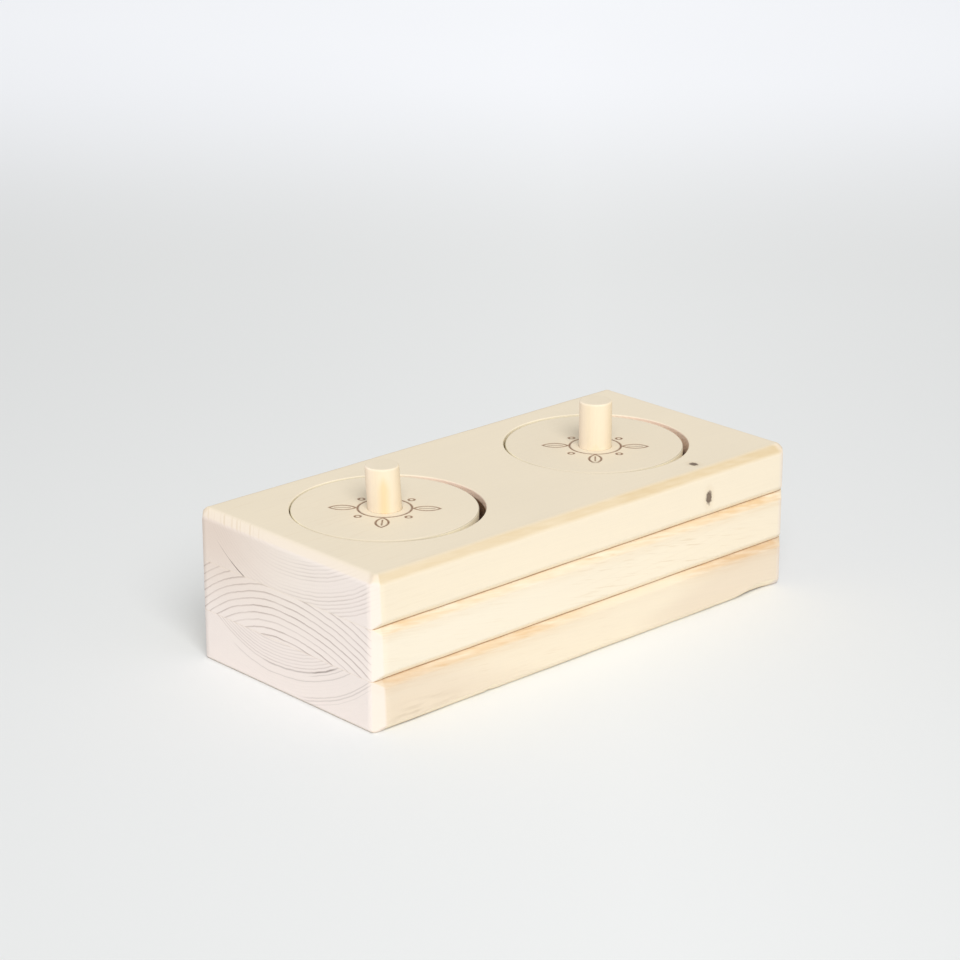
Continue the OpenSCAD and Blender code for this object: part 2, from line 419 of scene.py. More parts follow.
def board_edges(sizes, plan, low_z, high_z, low_edge, high_edge):
    """Carries the chamfered profile round the board's outline, from the upper face over the side to the
    lower face: point = outline + (inner rectangle - outline) * inset / EDGE_BAND, at face -/+ drop."""
    x, y = plan.outer.T
    profiles = []
    for edge in (high_edge, low_edge):
        legs = plan.legs(edge.leg(x, y), edge.end_leg, sizes.end_chamfer)
        line = SEAM_LINE if edge.seam else FOOT_LINE
        profiles.append(chamfer_profile(legs, edge.inner_radius, edge.outer_radius, EDGE_BAND, line))
    (high_inset, high_drop), (low_inset, low_drop) = profiles
    high_rows, low_rows = high_z - high_drop, (low_z + low_drop)[::-1]
    wall_rows = high_rows[-1] + (low_rows[0] - high_rows[-1]) * WALL_ROWS
    bare = np.zeros_like(wall_rows)
    inset = np.concatenate([high_inset, bare, low_inset[::-1]])
    z = np.concatenate([high_rows, wall_rows, low_rows])
    flare = sizes.corner_flare * (FLARE_LEVEL - z / (3 * sizes.board_thickness))
    outer = plan.outer + flare[..., None] * plan.flare
    flat = outer + (plan.inner - outer) * (inset / EDGE_BAND)[..., None]
    grid = np.concatenate([flat, z[..., None]], axis=-1)
    shares = {name: [] for name in (*EDGE_FINISHES, "sanded", "line")}
    for edge in (high_edge, low_edge):
        worked = np.where(plan.long, 1.0, np.where(plan.corner, 0.45, 0.0)) * edge.share(x)
        for name in EDGE_FINISHES:
            rows = PLANED_SHARE if name == "planed" else CHAMFER_SHARE
            shares[name].append(rows * worked * (name == edge.finish))
        chamfered = CHAMFER_SHARE * (1 - edge.seam)
        cut_corner = np.maximum(BELOW_FACE - CHAMFER_SHARE * edge.seam, 0)
        shares["sanded"].append(np.where(plan.long, 0, np.where(plan.corner, cut_corner, chamfered)))
        shares["line"].append(LINE_SHARE * np.where(plan.end, 0, edge.line(x)))
    traits = {}
    for name, (high, low) in shares.items():
        wall = bare + plan.corner if name == "sanded" else bare
        traits[name] = np.concatenate([high, wall, low[::-1]])
    return grid, traits


def sawn_share(depth, rim, burnt):
    """Share of the saw's colours by the depth below the top: the pale band under a rim of leg `rim`, then
    painted shade of the gap with some saw burn, darkest a little below the depth `burnt`, and paler again
    further down."""
    full = SHADE_AND_BURN_FULL * burnt
    depths = [0, rim, SHADE_AND_BURN_STARTS * burnt, full, full + 4 * MM, full + 10 * MM]
    return np.interp(depth, depths, [0, 0.3, 0.35, 1, 0.95, 0.6])


def board_hole(loop, centre, radius, rim, burnt, low_z, high_z):
    """Skins the faces round a hole and the hole itself. Each ray from the hole's middle to a point of the
    boundary `loop` carries one profile: inward on the upper face, over the eased rim, down the wall, which
    takes painted shade of the gap, with some saw burn, from the depth `burnt`, and out on the lower face:
    point = middle + ray direction * distance."""
    ray = loop - centre
    reach = np.linalg.norm(ray, axis=1)
    direction = ray / reach[:, None]
    ragged = rim * (0.8 + 0.3 * sway(np.arctan2(ray[:, 1], ray[:, 0]) * radius, radius / MM))
    inset, drop = chamfer_profile(ragged, 0.3 * MM, 0.3 * MM, 3 * rim, RIM_LINE)
    spread = np.array([1, 0.6, 0.3, 0.12])[:, None]
    level = np.zeros((1, len(loop)))
    brim, foot = radius + 3 * rim, radius + SUPPORT
    walls = [high_z - SHADE_AND_BURN_STARTS * burnt, high_z - SHADE_AND_BURN_FULL * burnt, (high_z + low_z) / 2]
    walls = np.array([*walls, low_z + SUPPORT, low_z])[:, None] + level
    distance = np.concatenate([
        brim + (reach - brim) * spread,
        radius + inset,
        np.full_like(walls, radius),
        foot + level,
        foot + (reach - foot) * spread[::-1],
    ])
    z = np.concatenate([
        np.repeat(high_z + level, len(spread), axis=0),
        high_z - drop,
        walls,
        np.repeat(low_z + level, len(spread) + 1, axis=0),
    ])
    flat = centre + direction * distance[..., None]
    sawn = sawn_share(high_z - z, rim, burnt) * (distance < foot)
    return np.concatenate([flat, z[..., None]], axis=-1), sawn


class PUZZLE_OT_boards(bpy.types.Operator):
    """Builds the base, middle and top boards of the block"""

    bl_idname = "puzzle.boards"
    bl_label = "Boards"

    def execute(self, context):
        sizes, colours = context.scene.puzzle_sizes, context.scene.puzzle_colours
        plan = BoardPlan(sizes)
        leg = sizes.long_chamfer
        joint = dict(long_leg=leg, end_leg=HAIRLINE, inner_radius=0.3 * MM, outer_radius=0.9 * MM, seam=1)
        # The lower edges of the upper boards take painted light that keeps them pale.
        under = Edge(**joint, finish="pale_band", strength=EVEN, seed=1.9)
        low_seam = Edge(**joint, finish="planed", strength=LOW_WORN, seed=2.6)
        high_seam = Edge(**joint, finish="planed", strength=HIGH_WORN, seed=1.3)
        # The foot's edge takes painted light where it faces down, and a painted contact shadow with some dirt
        # along it.
        foot = Edge(
            long_leg=1.08 * leg, end_leg=sizes.foot_chamfer, inner_radius=0.5 * MM, outer_radius=0.8 * MM,
            seam=0, finish="pale_band", strength=EVEN, seed=0.4, chips=FOOT_CHIPS, foot_shade_and_dirt=FOOT_SHADE_AND_DIRT,
        )
        brow = Edge(
            long_leg=1.1 * leg, end_leg=sizes.end_chamfer, inner_radius=1.9 * MM, outer_radius=1.9 * MM,
            seam=0, finish="brow", strength=BROW_WORN, seed=3.1,
        )
        edges = {
            "base_board": (foot, low_seam),
            "middle_board": (under, high_seam),
            "top_board": (under, brow),
        }
        holes = {
            "middle_board": (sizes.well_radius, sizes.well_chamfer),
            "top_board": (sizes.hole_radius, sizes.rim_chamfer),
        }
        halves = [plan.half_loop(False), plan.half_loop(True)]
        for level, (node, (low_edge, high_edge)) in enumerate(edges.items()):
            low_z, high_z = level * sizes.board_thickness, (level + 1) * sizes.board_thickness
            band, traits = board_edges(sizes, plan, low_z, high_z, low_edge, high_edge)
            grids, caps, sawn = [band], [], [np.zeros(1)]
            if node in holes:
                radius, rim = holes[node]
                for side, loop, burnt in zip((-1, 1), halves, HOLE_SHADE_AND_BURN):
                    x = sizes.hole_shift_x + side * sizes.hole_spacing / 2
                    middle = np.array([x, sizes.hole_shift_y])
                    grid, share = board_hole(loop, middle, radius, rim, burnt, low_z, high_z)
                    grids.append(grid)
                    sawn.append(share)
            else:
                near, far = halves
                loop = [near[:SIDE_STEPS], far[:-END_STEPS], near[SIDE_STEPS + END_STEPS:]]
                loop = np.concatenate(loop)
                caps = [np.column_stack([loop, np.full(len(loop), z)]) for z in (low_z, high_z)]
            plain = [np.zeros(1)] * (len(grids) - 1)
            arrays = {name: [value, *plain] for name, value in traits.items()}
            arrays["sawn"] = sawn
            set_piece(node, "block", board_wood(node, colours), grids, arrays, caps)
        return {"FINISHED"}


# Lids, pegs and dowels

ENDS = ("near", "far")
# Steps round a lid and round a rod
LID_STEPS = 512
ROD_STEPS = 128
# Rows down the side of a peg
PEG_ROWS = 20
# Width of the rim round a lid, the reach of the carved rows round its peg, and the distance between them
LID_BAND = 1.6 * MM
CARVED_REACH = 20.5 * MM
CARVED_STEP = 0.24 * MM
# Direction in which the near peg leans, seen from above. The pegs' streaks lie across it.
LEAN_WAY = np.array([-0.73, 0.68])

# The lids' ornament: the ring, the leaves' middle and half sizes, their veins and the beads
RING_RADIUS = 9.4 * MM
LEAF_PLACE = 14.6 * MM
LEAF_HALF_LENGTH = 4.6 * MM
LEAF_HALF_WIDTH = 2.2 * MM
VEIN_HALF_LENGTH = 2.6 * MM
VEIN_THINNER = 0.12 * MM
BEAD_PLACE = 12.3 * MM
BEAD_RADIUS = 1.05 * MM


def round_steps(count):
    """Angles of even steps round a circle."""
    return np.arange(count) * TURN / count


def turned(middle, radii, heights, count, scale=1.0):
    """A turned surface: each row is a circle round `middle`, which may differ from row to row, and `scale`
    may change its radius from place to place. Point = middle + radius * scale * (cos, sin), height."""
    angle = round_steps(count)
    level = np.zeros(count)
    radius = np.asarray(radii)[:, None] * scale + level
    middle = np.broadcast_to(middle, (len(radii), 2))
    x = middle[:, :1] + radius * np.cos(angle)
    y = middle[:, 1:] + radius * np.sin(angle)
    return np.stack([x, y, np.asarray(heights)[:, None] + level], axis=-1)


def box_middle(node):
    """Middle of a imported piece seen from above, and its lowest and highest level."""
    low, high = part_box(node)
    return np.array([(low[0] + high[0]) / 2, (low[1] + high[1]) / 2]), low[2], high[2]


def leaf_ring(x, y):
    """Distance to the lines of the lids' ornament, in metres: a ring round the peg, four pointed leaves that
    stand on it, each where two circles overlap, with a vein, and a bead between each two leaves."""
    radius, angle = np.hypot(x, y), np.arctan2(y, x)
    ring = np.abs(radius - RING_RADIUS)
    quarter = np.mod(angle, TURN / 4) - TURN / 8
    along, across = radius * np.cos(quarter) - LEAF_PLACE, radius * np.sin(quarter)
    bow = (LEAF_HALF_LENGTH**2 + LEAF_HALF_WIDTH**2) / (2 * LEAF_HALF_WIDTH)
    offset = bow - LEAF_HALF_WIDTH
    circles = np.maximum(np.hypot(along, across - offset), np.hypot(along, across + offset))
    vein = np.hypot(np.maximum(np.abs(along) - VEIN_HALF_LENGTH, 0), across)
    between = np.mod(angle + TURN / 8, TURN / 4) - TURN / 8
    bead = np.hypot(radius * np.cos(between) - BEAD_PLACE, radius * np.sin(between)) - BEAD_RADIUS
    return np.minimum.reduce([ring, np.abs(circles - bow), vein + VEIN_THINNER, np.abs(bead)])


class PUZZLE_OT_lids(bpy.types.Operator):
    """Builds the two plug lids with their scorched leaf rings"""

    bl_idname = "puzzle.lids"
    bl_label = "Lids"

    def execute(self, context):
        sizes, colours = context.scene.puzzle_sizes, context.scene.puzzle_colours
        radius, bore = sizes.lid_radius, sizes.peg_radius + sizes.glue_gap
        inset, drop = chamfer_profile(sizes.lid_chamfer, 0.35 * MM, 0.35 * MM, LID_BAND, RIM_LINE)
        rim = radius - inset
        carved = np.arange(bore, CARVED_REACH, CARVED_STEP)
        plain = np.linspace(CARVED_REACH, radius - LID_BAND, 8)[:-1]
        half_line = sizes.line_width / 2
        for end, burnt in zip(ENDS, LID_SHADE_AND_BURN):
            node = end + "_lid_disc"
            middle, low_z, high_z = box_middle(node)
            bored = box_middle(end + "_lid_peg")[0]
            half_z = (low_z + high_z) / 2
            walls = [high_z - SHADE_AND_BURN_STARTS * burnt, high_z - SHADE_AND_BURN_FULL * burnt, half_z]
            radii = np.concatenate([
                [bore] * 3, carved, plain, rim, [radius] * 3, rim[::-1], [bore + 4 * MM, bore],
            ])
            heights = np.concatenate([
                [low_z, half_z, high_z - 0.3 * MM], np.full(len(carved) + len(plain), high_z),
                high_z - drop, walls, (low_z + drop)[::-1], [low_z, low_z],
            ])
            inward = 1 - smooth(bore, radius - 3 * MM, radii)
            grid = turned(middle + (bored - middle) * inward[:, None], radii, heights, LID_STEPS)
            distance = leaf_ring(grid[..., 0] - bored[0], grid[..., 1] - bored[1])
            row = np.arange(len(radii))[:, None]
            upper = (row >= 3) & (row < 3 + len(carved))
            groove = upper * np.exp(-(distance / (0.75 * half_line)) ** 2)
            scorch = upper * (1 - smooth(0.55 * half_line, 1.7 * half_line, distance))
            grid[..., 2] -= sizes.line_depth * groove
            outside = radii > radius - 1.5 * sizes.lid_chamfer
            sawn = sawn_share(high_z - heights, 0.3 * sizes.lid_chamfer, burnt) * outside
            traits = {"scorch": [scorch], "sawn": [sawn[:, None]]}
            set_piece(node, end + "_lid", lid_wood(end, colours), [grid], traits)
        return {"FINISHED"}


class PUZZLE_OT_pegs(bpy.types.Operator):
    """Builds the two pegs, sawn from rod and eased at both ends"""

    bl_idname = "puzzle.pegs"
    bl_label = "Pegs"

    def execute(self, context):
        sizes, colours = context.scene.puzzle_sizes, context.scene.puzzle_colours
        inset, drop = chamfer_profile(sizes.peg_chamfer, 0.5 * MM, 0.5 * MM, 2 * MM, RIM_LINE)
        rim = sizes.peg_radius - inset
        half = np.concatenate([[0, 2 * MM], rim])
        radii = np.concatenate([half, [sizes.peg_radius] * PEG_ROWS, half[::-1]])
        drop = np.concatenate([[0, 0], drop])
        angle = round_steps(ROD_STEPS)
        for seed, end in enumerate(ENDS):
            node = end + "_lid_peg"
            middle, low_z, high_z = box_middle(node)
            walls = np.linspace(high_z - drop[-1], low_z + drop[-1], PEG_ROWS + 2)[1:-1]
            heights = np.concatenate([high_z - drop, walls, (low_z + drop)[::-1]])
            turn = heights[:, None] / (9 * MM) + 3 * angle + seed
            scale = 1 - 0.0025 * (1 + np.sin(turn) * np.sin(2 * angle + seed))
            lean = math.tan(sizes.near_peg_lean) * np.maximum(heights - BLOCK_TOP, 0) * (end == "near")
            grid = turned(middle + lean[:, None] * LEAN_WAY, radii, heights, ROD_STEPS, scale)
            set_piece(node, end + "_lid", peg_wood(end, colours, middle), [grid])
        return {"FINISHED"}


class PUZZLE_OT_dowels(bpy.types.Operator):
    """Builds the four fluted dowels inside the glue joints"""

    bl_idname = "puzzle.dowels"
    bl_label = "Dowels"

    def execute(self, context):
        sizes = context.scene.puzzle_sizes
        material = dowel_wood(context.scene.puzzle_colours)
        r, leg = sizes.dowel_radius, sizes.dowel_chamfer
        half = [0, 0.5 * r, r - leg, r - 0.5 * leg, r, r]
        drop = np.array([0, 0, 0, 0.35, 1, 2]) * leg
        radii = np.array(half + half[::-1])
        flutes = 1 - sizes.flute_depth / r * np.cos(8 * round_steps(ROD_STEPS)) ** 8
        scale = np.where(np.isclose(radii, r)[:, None], flutes, 1)
        for place in ("near_front", "near_back", "far_front", "far_back"):
            node = place + "_dowel"
            middle, low_z, high_z = box_middle(node)
            heights = np.concatenate([high_z - drop, (low_z + drop)[::-1]])
            grid = turned(middle, radii, heights, ROD_STEPS, scale)
            set_piece(node, "block", material, [grid])
        return {"FINISHED"}


# Shaders

class Flow:
    """One value in a shader. Operators between values, or with numbers, add the nodes that they stand for."""

    def __init__(self, socket):
        self.socket = socket

    def make(self, kind, settings=(), inputs=(), output=0):
        """Adds a node of any kind, sets it up, feeds its sockets with numbers or values, and returns one
        output."""
        tree = self.socket.id_data
        node = tree.nodes.new(kind)
        for key, value in dict(settings).items():
            setattr(node, key, value)
        for key, value in dict(inputs).items():
            if isinstance(value, Flow):
                tree.links.new(value.socket, node.inputs[key])
            else:
                node.inputs[key].default_value = value
        return Flow(node.outputs[output])

    def math(self, operation, *values):
        """A Math node on this value and others."""
        return self.make("ShaderNodeMath", {"operation": operation}, enumerate((self, *values)))

    def __add__(self, other):
        return self.math("ADD", other)

    __radd__ = __add__

    def __sub__(self, other):
        return self.math("SUBTRACT", other)

    def __rsub__(self, other):
        return self.make("ShaderNodeMath", {"operation": "SUBTRACT"}, {0: other, 1: self})

    def __mul__(self, other):
        return self.math("MULTIPLY", other)

    __rmul__ = __mul__

    def __truediv__(self, other):
        return self.math("DIVIDE", other)

    def __pow__(self, other):
        return self.math("POWER", other)

    def __abs__(self):
        return self.math("ABSOLUTE")

    def rise(self, low, high):
        """Smooth step from 0 at `low` to 1 at `high`."""
        inputs = {"Value": self, "From Min": low, "From Max": high}
        return self.make("ShaderNodeMapRange", {"interpolation_type": "SMOOTHSTEP"}, inputs)

    def window(self, low, high, soft):
        """One between `low` and `high`, falling to zero within `soft` beyond them."""
        return self.rise(low - soft, low) * (1 - self.rise(high, high + soft))

    def near(self, value, half_width):
        """One at `value`, falling to zero at `half_width` on both sides of it."""
        return 1 - abs(self - value).rise(0, half_width)

    def vector(self, operation, *values, output=0):
        """A Vector Math node on this vector and others."""
        inputs = enumerate((self, *values))
        return self.make("ShaderNodeVectorMath", {"operation": operation}, inputs, output)

    def dot(self, way):
        """How far this vector goes along a direction."""
        return self.vector("DOT_PRODUCT", way, output="Value")

    def scaled(self, factor):
        """This colour or vector times a value."""
        return self.make("ShaderNodeVectorMath", {"operation": "SCALE"}, {0: self, "Scale": factor})

    def axes(self):
        """The three numbers of a vector."""
        split = self.make("ShaderNodeSeparateXYZ", (), {0: self}).socket.node
        return [Flow(socket) for socket in split.outputs]

    def slanted(self, slope):
        """This place with its height slanted along x, so that fibres there run at a slope."""
        x, y, z = self.axes()
        return self.make("ShaderNodeCombineXYZ", (), {0: x, 1: y, 2: z + x * slope})

    def noise(self, lengths, seed, detail=2.0, roughness=0.5):
        """Noise around zero, about -0.5 to 0.5, at this place, in grains of these lengths along the axes."""
        place = self.vector("DIVIDE", lengths).vector("ADD", (seed, 1.7 * seed, 2.3 * seed))
        inputs = {"Vector": place, "Scale": 1.0, "Detail": detail, "Roughness": roughness}
        return self.make("ShaderNodeTexNoise", (), inputs) - 0.5

    def blend(self, low, high):
        """Colour from `low` where this value is 0 to `high` where it is 1."""
        inputs = {0: self, 6: low, 7: high}
        for key in (6, 7):
            if not isinstance(inputs[key], Flow):
                inputs[key] = (*inputs[key], 1)
        return self.make("ShaderNodeMix", {"data_type": "RGBA"}, inputs, 2)

    def tinted(self, share, tint):
        """This colour, multiplied by `tint` where `share` is 1."""
        return self.vector("MULTIPLY", share.blend((1, 1, 1), tint))


class Finish:
    """A new material with its surface shader, and the values that every finish here reads: the place in
    millimetres and the direction that the surface faces."""

    def __init__(self, name):
        self.material = bpy.data.materials.new(name)
        self.material.use_nodes = True
        tree = self.material.node_tree
        tree.nodes.clear()
        self.shader = tree.nodes.new("ShaderNodeBsdfPrincipled")
        output = tree.nodes.new("ShaderNodeOutputMaterial")
        tree.links.new(self.shader.outputs[0], output.inputs[0])
        coordinates = tree.nodes.new("ShaderNodeTexCoord")
        self.place = Flow(coordinates.outputs["Object"]).vector("MULTIPLY", (1 / MM, 1 / MM, 1 / MM))
        self.facing = Flow(coordinates.outputs["Normal"])

    def trait(self, name):
        """A named attribute of the piece's own points."""
        return self.place.make("ShaderNodeAttribute", {"attribute_name": name}, (), "Fac")

    def feed(self, colour, roughness, relief, depth=0.05 * MM):
        """Feeds the shader: colour, roughness and a bump of `relief` times `depth`. Returns the material."""
        bump = relief.make("ShaderNodeBump", (), {"Height": relief, "Distance": depth, "Strength": 1.0})
        for name, value in (("Base Color", colour), ("Roughness", roughness), ("Normal", bump)):
            self.material.node_tree.links.new(value.socket, self.shader.inputs[name])
        self.shader.inputs["Specular IOR Level"].default_value = 0.3
        return self.material


class Log(NamedTuple):
    """How a board was cut from its log, in millimetres: the heart's place seen on the near end, how much more
    the rings bend on the back side than on the front, the width of a year ring, the radius of one ring, the
    share of a ring that is late wood, the radii between which rings show on the end grain and how strongly,
    the lean of the heart along the board, how strongly grain shows on the long faces, the stretch on which it
    shows most, the slant of the fibres there, how warm and uneven the tone is, and the place of its noise."""

    heart: tuple
    bend: float
    ring: float
    first: float
    late: float
    seen: tuple
    end_show: float
    lean: tuple
    long_show: float
    stretch: tuple
    slant: float
    warmth: float
    seed: float


LOGS = {
    "top_board": Log(
        heart=(1.8, 93), bend=0.234, ring=1.3, first=49.2, late=0.5, seen=(43, 61), end_show=0.42,
        lean=(0.02, -0.05), long_show=0.16, stretch=(-95, -62), slant=0.01, warmth=0.05, seed=1.0,
    ),
    "middle_board": Log(
        heart=(1.35, -47.1), bend=0.134, ring=2.52, first=67.05, late=0.26, seen=(65, 100), end_show=0.9,
        lean=(-0.03, 0.06), long_show=0.7, stretch=(6, 60), slant=0.18, warmth=0.0, seed=2.0,
    ),
    "base_board": Log(
        heart=(7, 69.5), bend=0.088, ring=1.18, first=60.2, late=0.48, seen=(40, 60.3), end_show=0.45,
        lean=(0.05, 0.04), long_show=0.32, stretch=(-60, 5), slant=0.12, warmth=0.35, seed=3.0,
    ),
}

NEAR_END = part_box("top_board")[0][0] / MM
# Share of a year at which its late wood is darkest
YEAR_PEAK = 0.93

# The drying check on the near end of the top board: where it starts across and up, its slope, its length
# across and its bow
CHECK_Y, CHECK_Z = 19.25, 36.3
CHECK_SLOPE = 0.65
CHECK_REACH = 18.8
CHECK_BOW = 0.0165

# Finer years outside the rings of the base board: radius, half width, stretch across with its soft ends, and
# strength
OUTER_REACH = (-60, -14, 8)
FINE_YEARS = (
    (61.3, 0.3, (-40, -16, 5), 0.3),
    (63.2, 0.35, (-35, 24, 6), 0.3),
    (68.95, 0.35, OUTER_REACH, 0.3),
    (70, 0.4, OUTER_REACH, 0.3),
    (71.3, 0.3, OUTER_REACH, 0.15),
)


def year_rings(finish, log, swell):
    """Late wood of a board as a value from 0 to 1, and the distance from the heart: the distance to the heart
    line, warped a little by noise, counted in ring widths. Late wood grows slowly darker until the year ends
    sharply, and each year has its own strength."""
    x, y, z = finish.place.axes()
    run = x - NEAR_END
    across = y - log.heart[0] - run * log.lean[0]
    across = across + abs(across) * log.bend
    up = z - log.heart[1] - run * log.lean[1]
    drift = finish.place.noise((70, 90, 90), log.seed, detail=1.0) * run.rise(5, 70) * 7
    ripple = finish.place.noise((60, 9, 9), log.seed + 1) * 0.7
    tremble = finish.place.noise((20, 3, 3), log.seed + 2) * 0.35
    distance = (across * across + up * up) ** 0.5 + drift + ripple + tremble + swell
    count = (distance - log.first) / log.ring + YEAR_PEAK
    year = count.math("FLOOR") + log.seed
    chance = year.make("ShaderNodeTexWhiteNoise", {"noise_dimensions": "1D"}, {"W": year}, "Value")
    part = count.math("FRACT")
    late = part.rise(YEAR_PEAK - log.late, YEAR_PEAK) * (1 - part.rise(YEAR_PEAK, 1))
    return late * (chance * 0.5 + 0.5), distance


def end_marks(finish, node, distance):
    """Marks on the near end grain of a board: in the top board a dark drying check that runs down and across
    as a shallow curve, in the base board one year of thick late wood and finer ones outside it."""
    x, y, z = finish.place.axes()
    if node == "top_board":
        run = y - CHECK_Y
        curve = z - CHECK_Z - run * CHECK_SLOPE + run * (CHECK_REACH - run) * CHECK_BOW
        marks = curve.near(0, 0.34) * run.window(0.2, 6, 5)
        marks = marks + curve.near(0, 0.28) * run.window(6, 12, 6) * 0.55
    else:
        thick = y.window(-24, -17, 4) * 0.45 + y.window(-24, 8, 6) * 0.3
        marks = distance.near(LOGS[node].first, 0.5) * thick
        for radius, half, reach, strength in FINE_YEARS:
            marks = marks + distance.near(radius, half) * y.window(*reach) * strength
    return marks * (1 - x.rise(-98, -85))


def raw_wood(finish, node, log, colours, swell=0.0):
    """Raw softwood of a board: rings that show faintly on the long faces and clearly on the end grain, fine
    fibres and short dashes along the board, pores on the ends, and slow changes of tone. Returns its colour
    and its relief."""
    late, distance = year_rings(finish, log, swell)
    x, y, z = finish.place.axes()
    end = abs(finish.facing.axes()[0]).rise(0.6, 0.9)
    side = 1 - end
    slanted = finish.place.slanted(log.slant)
    dashes = slanted.noise((14, 1.2, 0.8), log.seed + 3, roughness=0.55).rise(0.05, 0.32)
    fibre = slanted.noise((24, 0.4, 0.4), log.seed + 7, detail=3.0, roughness=0.6)
    pores = finish.place.noise((0.6, 0.28, 0.28), log.seed + 9, roughness=0.6)
    tone = finish.place.noise((50, 26, 13), log.seed + 11, detail=1.0)
    shows = x.window(*log.stretch, 22) * 0.75 + 0.25
    grain = (late * 0.12 + dashes) * shows * log.long_show + tone.rise(-0.1, 0.3) * log.warmth * 0.4
    patchy = finish.place.noise((30, 9, 9), log.seed + 13, detail=1.0) * 1.1 + 0.9
    rings = late * distance.window(*log.seen, 0.6) * patchy * log.end_show
    pale = colours.pale_wood
    if node == "top_board":
        rings = rings * (1 - distance.window(50.3, 52.2, 0.6) * 0.9) * (1 - y.rise(-16, 10) * 0.75)
    if node == "middle_board":
        rings = rings * (1 - y.rise(-30, 45) * 0.28)
        pale = x.rise(-80, 90).blend(colours.fair_wood, pale)
    long_colour = grain.blend(pale, colours.ring_wood)
    end_colour = rings.blend(colours.end_wood, colours.end_ring)
    if node in ("top_board", "base_board"):
        end_colour = end_marks(finish, node, distance).blend(end_colour, 0.6 * colours.end_ring)
    end_colour = end_colour.tinted(z.rise(10, 45) * y.rise(-45, 5), colours.end_warm)
    end_colour = end_colour.tinted(y.rise(-12, 42) * z.rise(14, 50), colours.end_blush)
    if node == "base_board":
        uneven = z * 1.8 + tone * 30
        dull = 1 - (x + uneven).rise(-60, -15) * 0.8 + (x - uneven).rise(10, 45) * 0.8
        streaks = finish.place.noise((12, 12, 1.6), 51.0).rise(-0.1, 0.2)
        smear = x.near(-81, 24) * z.near(5, 5) * (1 - y.rise(-45, -40)) * streaks
        long_colour = long_colour.tinted(dull, colours.dull_wood).tinted(smear, colours.smear)
        end_colour = end_colour.scaled(0.98)
    shade = (1 + pores * 0.1) * end + (1 + tone * 0.05 + fibre * 0.05) * side
    relief = late * (0.1 + end * 0.6) + fibre * side * 0.5 + pores * end * 0.8
    return end.blend(long_colour, end_colour).scaled(shade), relief


def worked_edges(finish, colour, colours):
    """Adds the planed long edges, painted light that keeps the edges facing down pale, the freshly sanded end
    edges with torn fibres across the near one, and the dark line of the glue joints and, along the foot, of a
    painted contact shadow with some dirt."""
    x, y, z = finish.place.axes()
    sanded = finish.trait("sanded")
    mottle = finish.place.slanted(0.12).noise((12, 3, 1), 21.0, roughness=0.55) * 3.2 + 0.95
    # Painted light: the edges that face down are made paler.
    colour = finish.trait("pale_band").blend(colour, colours.painted_underside_light)
    upward = finish.facing.axes()[2].rise(0.3, 0.6)
    colour = (sanded * 0.7).blend(colour, upward.blend(colours.sanded_wood, colours.sanded_top))
    colour = colour.tinted(finish.trait("planed") * mottle, colours.planed_wood)
    colour = colour.tinted(finish.trait("brow") * (mottle * 0.22 + 0.78), colours.brow_wood)
    way = y - z * 1.1
    torn = way.make("ShaderNodeTexNoise", {"noise_dimensions": "1D"}, {"W": way, "Scale": 0.7})
    streaks = torn.rise(0.5, 0.68) * way.window(-44, -18, 5) * x.near(-100, 6)
    colour = (streaks * sanded * 0.4).blend(colour, colours.ring_wood)
    # Along the foot the dark line is a painted contact shadow with some dirt; in the joints it is glue and
    # dust.
    return finish.trait("line").blend(colour, z.rise(3, 5).blend(colours.foot_shade_and_dirt, colours.seam_wood))


def sawn_walls_and_gap_shade(finish, colour, pale_band, burnt):
    """Adds the sawn walls: the given pale colour below a rim, and further down the given dark colour, which
    is painted shade of the gap with some saw burn, scratched round the wall."""
    sawn = finish.trait("sawn")
    uneven = finish.place.noise((7, 7, 7), 43.0) * 0.35
    scratch = finish.place.noise((6, 6, 0.35), 41.0) * 0.8 + 1
    colour = sawn.rise(0, 0.3).blend(colour, pale_band)
    return ((sawn + uneven).rise(0.42, 1) * scratch).blend(colour, burnt)


# Direction that the walls of the holes face where they are pinkish and take painted light
LIT_WALL_WAY = (-0.966, 0.259, 0)
# Direction towards which the sides of the lids take painted shade
SHADED_SIDE_WAY = (-0.788, -0.616, 0)

# A pin knot of the top board: a thin branch that leaves the top face and comes out of the front face
KNOT_START = np.array([57.4, -39.4, BLOCK_TOP / MM])
KNOT_STOP = np.array([57.7, -BOARD_SIZE[1] / (2 * MM), 44.6])
KNOT_RADIUS = 1.4

# How pale a lid is, and the height and strength of a peg's streak
LID_SHADE = {"near": 1.0, "far": 0.97}
STREAK_HEIGHT = {"near": 15.0, "far": 3.0}
STREAK_SHOW = {"near": 0.75, "far": 0.2}


def knot_distance(finish):
    """Distance from the branch's axis: length of what is left of the way from its start once the part along
    the axis is taken out."""
    axis = (KNOT_STOP - KNOT_START) / np.linalg.norm(KNOT_STOP - KNOT_START)
    way = finish.place.vector("SUBTRACT", KNOT_START)
    run = way.dot(axis)
    along = run.make("ShaderNodeCombineXYZ", (), enumerate(run * part for part in axis.tolist()))
    return way.vector("SUBTRACT", along).vector("LENGTH", output="Value")


def knot_mark(finish, colour, knot, colours):
    """Adds the ragged pin knot and the warmer wood round it."""
    ragged = knot + finish.place.noise((0.9, 0.9, 0.9), 5.0, roughness=0.6) * 1.2
    halo = (1 - ragged.rise(KNOT_RADIUS, 2.6 * KNOT_RADIUS)) * 0.3
    heart = ragged.rise(0.2 * KNOT_RADIUS, 0.9 * KNOT_RADIUS)
    brown = heart.blend(1.3 * colours.knot_wood, colours.knot_wood)
    colour = halo.blend(colour, colours.ring_wood)
    return (1 - ragged.rise(0.7 * KNOT_RADIUS, 1.3 * KNOT_RADIUS)).blend(colour, brown)


